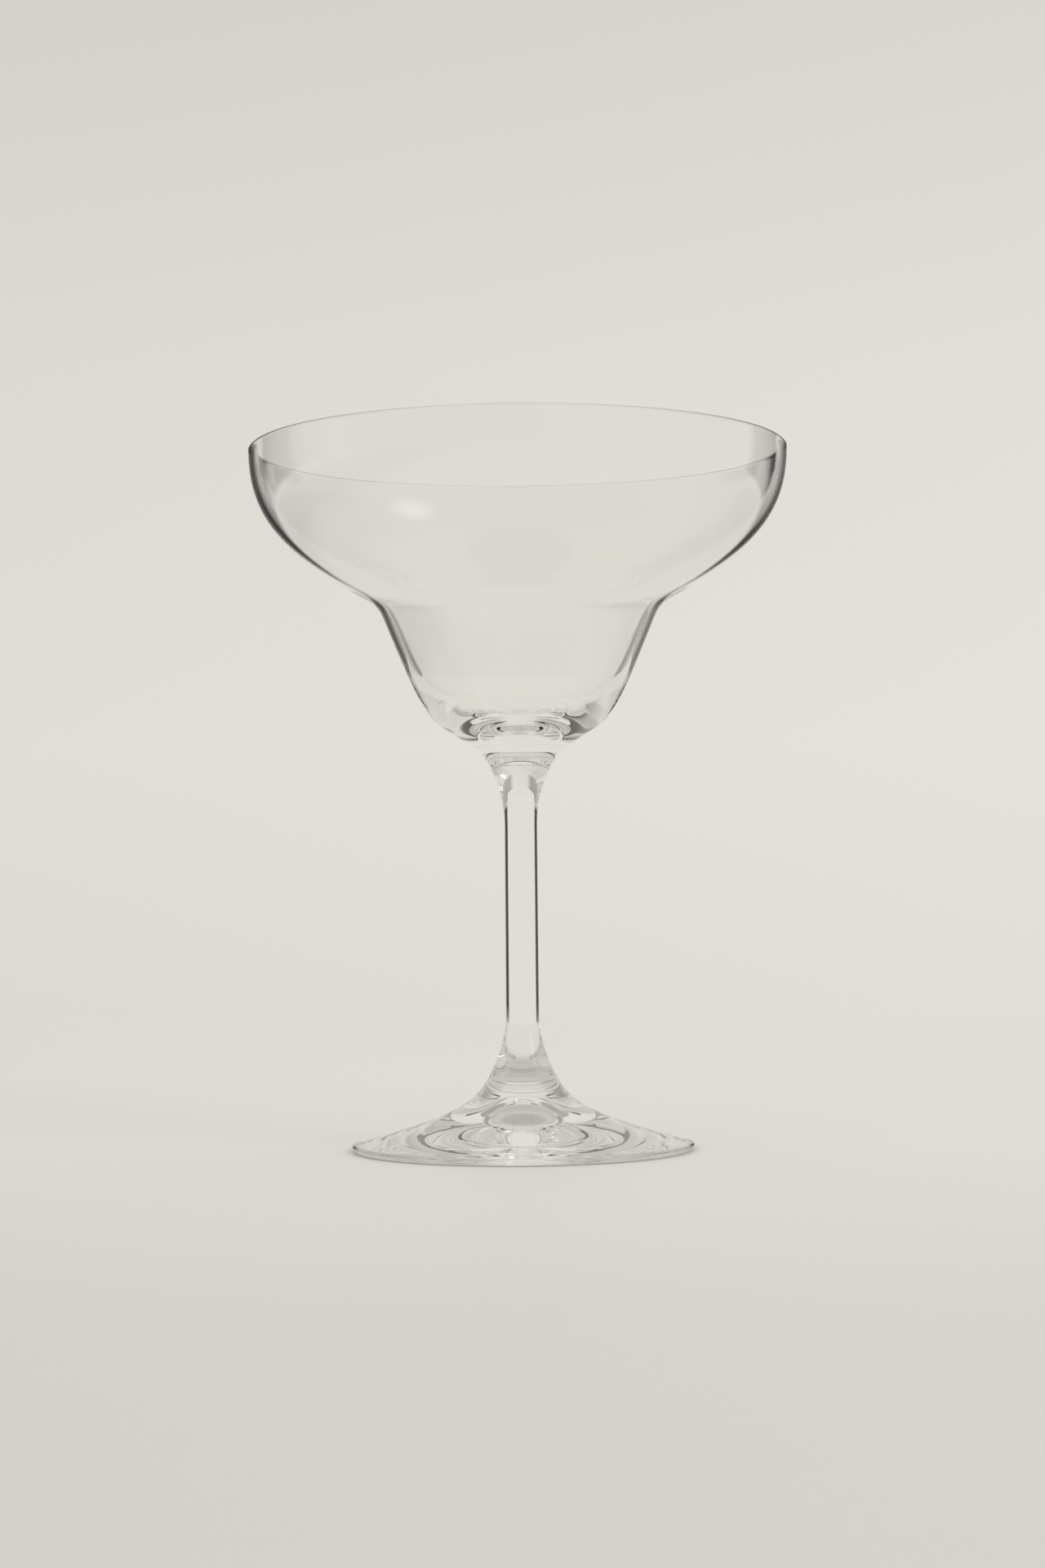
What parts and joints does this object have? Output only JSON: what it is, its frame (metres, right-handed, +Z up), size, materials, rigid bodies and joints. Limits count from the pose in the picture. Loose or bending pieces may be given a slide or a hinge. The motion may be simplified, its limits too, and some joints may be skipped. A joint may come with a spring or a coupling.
{
  "type": "margarita glass",
  "caption": "Clear stemmed cocktail glass with a wide upper cup over a narrow lower well, a slim solid stem and a round hollow foot, for serving mixed drinks.",
  "frame": {"origin": "centre of the circle that the foot rests on, at table height", "axes": "+Z up along the axis of the glass; the glass is round, so X and Y are any two level directions at right angles"},
  "size_m": [0.1176, 0.1176, 0.1524],
  "materials": {
    "clear_glass": "clear colourless glass, fire polished, smooth and glossy"
  },
  "bodies": {
    "root": {"bowl": "clear_glass", "stem": "clear_glass", "foot": "clear_glass"}
  },
  "joints": []
}
